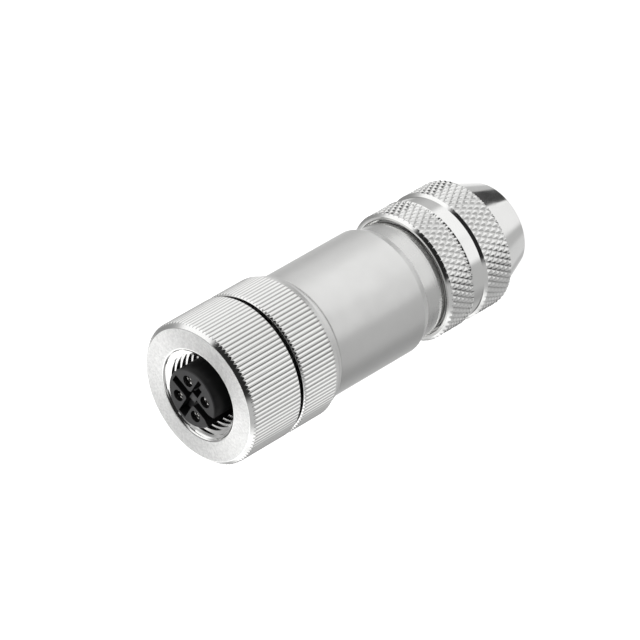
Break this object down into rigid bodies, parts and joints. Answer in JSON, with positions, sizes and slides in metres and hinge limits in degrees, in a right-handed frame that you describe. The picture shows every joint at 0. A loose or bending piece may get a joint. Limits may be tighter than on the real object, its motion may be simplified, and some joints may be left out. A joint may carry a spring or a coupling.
{
  "type": "m12 connector",
  "caption": "Straight shielded M12 cable socket: knurled coupling ring and collar, smooth sleeve, and a diamond-knurled nut that clamps the cable.",
  "frame": {"origin": "centre of the rear face of the clamp nut, where the cable goes in", "axes": "+Z along the connector's axis towards the mating face; +X towards the coding keyway"},
  "size_m": [0.02, 0.02, 0.0558],
  "materials": {
    "ring_nickel": "bright nickel plate, knurled",
    "collar_nickel": "bright nickel plate, knurled",
    "sleeve_nickel": "satin nickel plate, finely turned",
    "nut_nickel": "bright nickel plate, diamond knurled",
    "insert_plastic": "moulded black plastic",
    "cage_plastic": "moulded black plastic",
    "liner_plastic": "moulded grey plastic",
    "contact_gold": "thin gold plate",
    "seal_rubber": "moulded rubber",
    "spring_steel": "bright spring steel",
    "shield_nickel": "plain nickel plate"
  },
  "bodies": {
    "housing": {"housing_sleeve": "sleeve_nickel", "insulating_sleeve": "liner_plastic"},
    "collar_slide": {"collar_seal": "seal_rubber"},
    "front": {"front_collar": "collar_nickel", "coupling_clip": "spring_steel", "mating_seal": "seal_rubber", "contact_insert": "insert_plastic", "socket_contact_1": "contact_gold", "socket_contact_2": "contact_gold", "socket_contact_3": "contact_gold", "socket_contact_4": "contact_gold", "terminal_screws": "spring_steel", "insert_clip": "spring_steel"},
    "coupling_ring": {"coupling_ring": "ring_nickel"},
    "clamp_stack": {"shield_inner_ring": "shield_nickel", "shield_outer_ring": "shield_nickel", "cable_grommet": "seal_rubber", "thrust_washer": "liner_plastic", "clamping_cage": "cage_plastic"},
    "clamp_nut": {"clamp_nut": "nut_nickel"}
  },
  "joints": [
    {"name": "collar_advance", "type": "slide", "parent": "housing", "child": "collar_slide", "axis": [0, 0, 1], "range_m": [0, 0.00425]},
    {"name": "collar_turn", "type": "hinge", "parent": "collar_slide", "child": "front", "pos_m": [0, 0, 0.0355], "axis": [0, 0, 1], "range_deg": [0, 2016]},
    {"name": "coupling_ring_turn", "type": "hinge", "parent": "front", "child": "coupling_ring", "pos_m": [0, 0, 0.0466], "axis": [0, 0, 1], "continuous": true},
    {"name": "clamp_advance", "type": "slide", "parent": "housing", "child": "clamp_stack", "axis": [0, 0, 1], "range_m": [-0.00405, 0.00335]},
    {"name": "clamp_nut_turn", "type": "hinge", "parent": "clamp_stack", "child": "clamp_nut", "pos_m": [0, 0, 0.012], "axis": [0, 0, 1], "range_deg": [-1440, 1188]}
  ],
  "couplings": [
    {"joint": "collar_advance", "follows": "collar_turn", "m_per_rad": 0.00011937},
    {"joint": "clamp_advance", "follows": "clamp_nut_turn", "m_per_rad": 0.00015915}
  ]
}
